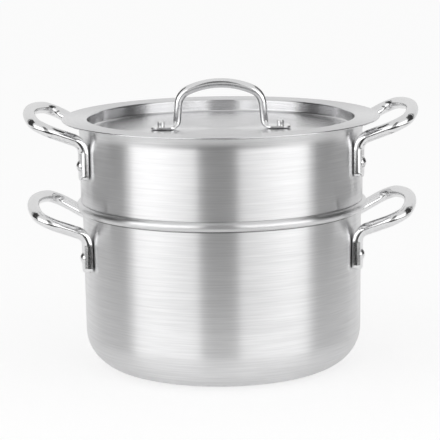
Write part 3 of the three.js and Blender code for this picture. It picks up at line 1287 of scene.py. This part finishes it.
@dataclass(frozen=True)
class Softbox:
    """A large soft lamp that stands upright and faces the object.

    Attributes:
        name: Its name.
        azimuth: Its middle in degrees, from the camera's side towards the right.
        spread: Angle that it covers.
        glow: How bright its face is, where 1 is white.
    """

    name: str
    azimuth: float
    spread: float
    glow: float


@dataclass
class Studio:
    """A white studio: a pale floor, a white surround, two soft lamps, cards and the camera.

    Lengths are in metres, and the camera's angles in radians.
    """

    sky_light: float = 0.7
    sky_mirrored: float = 0.85
    floor_radius: float = 6.0
    floor_white: float = 0.87
    floor_matte: float = 0.4
    floor_glow: float = 0.68
    floor_lift: float = 0.17
    ring_inner: tuple[float, float] = (0.52, 0.6)
    ring_outer: tuple[float, float] = (0.8, 0.72)
    ring_end: tuple[float, float] = (0.3, -0.1)
    front_edge: tuple[float, float] = (-0.32, -0.37)
    front_side: tuple[float, float] = (0.55, 0.48)
    card_radius: float = 1.5
    lamp_distance: float = 1.4
    lamp_height: float = 0.72
    ceiling_height: float = 2.3
    ceiling_radius: float = 2.3
    eye: tuple[float, float, float] = (0.0, -1.95010, 0.491106)
    pitch: float = 0.180705
    yaw: float = -0.000762
    roll: float = -0.0137396
    focal_pixels: float = 2113.277
    picture: float = 440.0
    sensor: float = 36.0
    sight: float = 50.0
    cards: tuple[Card, ...] = (
        Card("card_camera", CardTone.MIDDLE, -14.5, 24.6),
        Card("card_above", CardTone.SHADE, -14.5, 24.6, low=0.65, nearer=0.02),
        Card("edge_right", CardTone.GREY, 70.5, 6.0),
        Card("card_right", CardTone.DARK, 76.5, 61.5),
        Card("edge_left", CardTone.GREY, -80.0, 6.0),
        Card("card_left", CardTone.DARK, -136.0, 56.0),
        Card("card_behind", CardTone.GREY, 138.0, 86.0),
        Card("strip_right", CardTone.WHITE, 126.0, 3.2, nearer=0.02),
        Card("strip_left", CardTone.WHITE, -130.2, 3.2, nearer=0.02),
    )
    lamps: tuple[Softbox, ...] = (
        Softbox("softbox_left", -46.2, 55.6, 1.22),
        Softbox("softbox_right", 41.7, 57.5, 1.1),
    )

    HALF_PIXEL = 0.5
    CARD_STEPS = 48
    ROUND_STEPS = 96

    def camera(self) -> None:
        """Sets up the camera at the photograph's viewing angle."""
        data = bpy.data.cameras.new("camera")
        data.sensor_width = self.sensor
        data.lens = self.focal_pixels / self.picture * self.sensor
        data.shift_x = -self.HALF_PIXEL / self.picture
        data.shift_y = self.HALF_PIXEL / self.picture
        data.clip_end = self.sight
        camera = bpy.data.objects.new("camera", data)
        turn = Matrix.Rotation(-self.yaw, 4, "Z") @ Matrix.Rotation(math.pi / 2 - self.pitch, 4, "X")
        turn = turn @ Matrix.Rotation(self.roll, 4, "Z")
        camera.matrix_world = Matrix.Translation(self.eye) @ turn
        bpy.context.scene.collection.objects.link(camera)
        bpy.context.scene.camera = camera

    def surround(self) -> None:
        """Makes the world white to the camera, pale in the metal, and a plain light elsewhere."""
        world = bpy.data.worlds.new("studio")
        bpy.context.scene.world = world
        sheet = NodeSheet.emptied(world)
        rays = sheet.add("ShaderNodeLightPath").outputs
        mirrored = sheet.math("MAXIMUM", rays["Is Glossy Ray"], rays["Is Transmission Ray"])
        lit = sheet.plain("ShaderNodeBackground", self.sky_light)
        for chooser, level in ((mirrored, self.sky_mirrored), (rays["Is Camera Ray"], 1.0)):
            sky = sheet.plain("ShaderNodeBackground", level)
            lit = sheet.add("ShaderNodeMixShader", {0: chooser, 1: lit, 2: sky}).outputs[0]
        sheet.add("ShaderNodeOutputWorld", {"Surface": lit})

    def floor(self) -> None:
        """Makes the pale floor, which keeps the object's shadow and in the metal is lifted or dark."""
        mesh = bmesh.new()
        bmesh.ops.create_circle(mesh, cap_ends=True, radius=self.floor_radius, segments=self.ROUND_STEPS)
        piece = finished(mesh, "pale_floor")
        made = bpy.data.materials.new("pale_floor")
        sheet = NodeSheet.emptied(made)
        rays = sheet.add("ShaderNodeLightPath").outputs
        mirrored = rays["Is Glossy Ray"]
        white = sheet.plain("ShaderNodeBsdfDiffuse", self.floor_white)
        lift = sheet.glow(sheet.math("MULTIPLY", mirrored, self.floor_lift))
        pale = sheet.add("ShaderNodeAddShader", {0: white, 1: lift}).outputs[0]
        matte = sheet.plain("ShaderNodeBsdfDiffuse", self.floor_matte)
        shown = sheet.add("ShaderNodeAddShader", {0: matte, 1: sheet.glow(self.floor_glow)}).outputs[0]
        dim = sheet.math("MULTIPLY", self._dark_floor(sheet), mirrored)
        shade = sheet.glow(CardTone.BLACK.value)
        lit = pale
        for chooser, other in ((rays["Is Camera Ray"], shown), (dim, shade)):
            lit = sheet.add("ShaderNodeMixShader", {0: chooser, 1: lit, 2: other}).outputs[0]
        sheet.add("ShaderNodeOutputMaterial", {"Surface": lit})
        piece.data.materials.append(made)

    def _dark_floor(self, sheet: NodeSheet) -> NodeSocket:
        """Draws where the floor is dark in the metal: a ring further off and a strip in front.

        Args:
            sheet: The floor's tree.

        Returns:
            The mask's socket.
        """
        spot = sheet.add("ShaderNodeTexCoord").outputs["Object"]
        away = sheet.add("ShaderNodeVectorMath", {0: spot}, operation="LENGTH").outputs["Value"]
        place = sheet.add("ShaderNodeSeparateXYZ", {0: spot}).outputs
        aside = sheet.math("ABSOLUTE", place["X"])
        ring = sheet.math("MULTIPLY", sheet.ramp(away, self.ring_inner), sheet.ramp(away, self.ring_outer))
        ring = sheet.math("MULTIPLY", ring, sheet.ramp(place["Y"], self.ring_end))
        front = sheet.ramp(place["Y"], self.front_edge)
        front = sheet.math("MULTIPLY", front, sheet.ramp(aside, self.front_side))
        return sheet.math("MAXIMUM", ring, front)

    def card(self, card: Card) -> None:
        """Makes one standing card.

        Args:
            card: What it is.
        """
        mesh = bmesh.new()
        edge = bmesh.ops.create_vert(mesh, co=(0.0, card.nearer - self.card_radius, card.low))["vert"]
        drawn = bmesh.ops.extrude_vert_indiv(mesh, verts=edge)
        drawn["verts"][0].co.z = card.high
        turn = Matrix.Rotation(math.radians(card.start), 3, "Z")
        bmesh.ops.rotate(mesh, cent=(0, 0, 0), matrix=turn, verts=mesh.verts)
        bmesh.ops.spin(
            mesh,
            geom=mesh.verts[:] + mesh.edges[:],
            cent=(0.0, 0.0, 0.0),
            axis=(0.0, 0.0, 1.0),
            angle=math.radians(card.sweep),
            steps=self.CARD_STEPS,
        )
        self._set_up(mesh, card.name, card.tone)

    def ceiling(self) -> None:
        """Makes the pale ceiling card."""
        mesh = bmesh.new()
        bmesh.ops.create_circle(mesh, cap_ends=True, radius=self.ceiling_radius, segments=self.ROUND_STEPS)
        bmesh.ops.translate(mesh, vec=(0.0, 0.0, self.ceiling_height), verts=mesh.verts)
        self._set_up(mesh, "card_ceiling", CardTone.PALE)

    @staticmethod
    def _set_up(mesh: BMesh, name: str, tone: CardTone) -> None:
        """Makes a card that only the metal sees.

        Args:
            mesh: Its shape, which is freed.
            name: Its name.
            tone: How bright it is.
        """
        piece = finished(mesh, name)
        made = bpy.data.materials.new(name)
        sheet = NodeSheet.emptied(made)
        sheet.add("ShaderNodeOutputMaterial", {"Surface": sheet.glow(tone.value)})
        piece.data.materials.append(made)
        piece.visible_camera = False
        piece.visible_diffuse = False
        piece.visible_shadow = False

    def lamp(self, lamp: Softbox) -> None:
        """Makes one soft lamp.

        Args:
            lamp: What it is.
        """
        light = bpy.data.lights.new(lamp.name, "AREA")
        light.shape = "RECTANGLE"
        light.size = 2.0 * self.lamp_distance * math.tan(math.radians(lamp.spread / 2))
        light.size_y = self.lamp_height
        light.energy = math.pi * light.size * light.size_y * lamp.glow
        holder = bpy.data.objects.new(lamp.name, light)
        turn = Matrix.Rotation(math.radians(lamp.azimuth), 4, "Z")
        stand = Matrix.Translation((0.0, -self.lamp_distance, self.lamp_height / 2))
        holder.matrix_world = turn @ stand @ Matrix.Rotation(math.pi / 2, 4, "X")
        holder.visible_camera = False
        bpy.context.scene.collection.objects.link(holder)

    def build(self) -> None:
        """Builds the whole studio."""
        self.camera()
        self.surround()
        self.floor()
        self.ceiling()
        for card in self.cards:
            self.card(card)
        for lamp in self.lamps:
            self.lamp(lamp)
        bpy.context.scene.view_settings.view_transform = "Standard"


def main() -> None:
    """Builds the double boiler and its studio."""
    logging.basicConfig(level=logging.INFO, format="%(name)s: %(message)s")
    Studio().build()
    shelf = FinishShelf()
    for assembly in (BoilerPot(), InsertPan(), SunkenCover()):
        assembly.build(shelf)


if __name__ == "__main__":
    main()
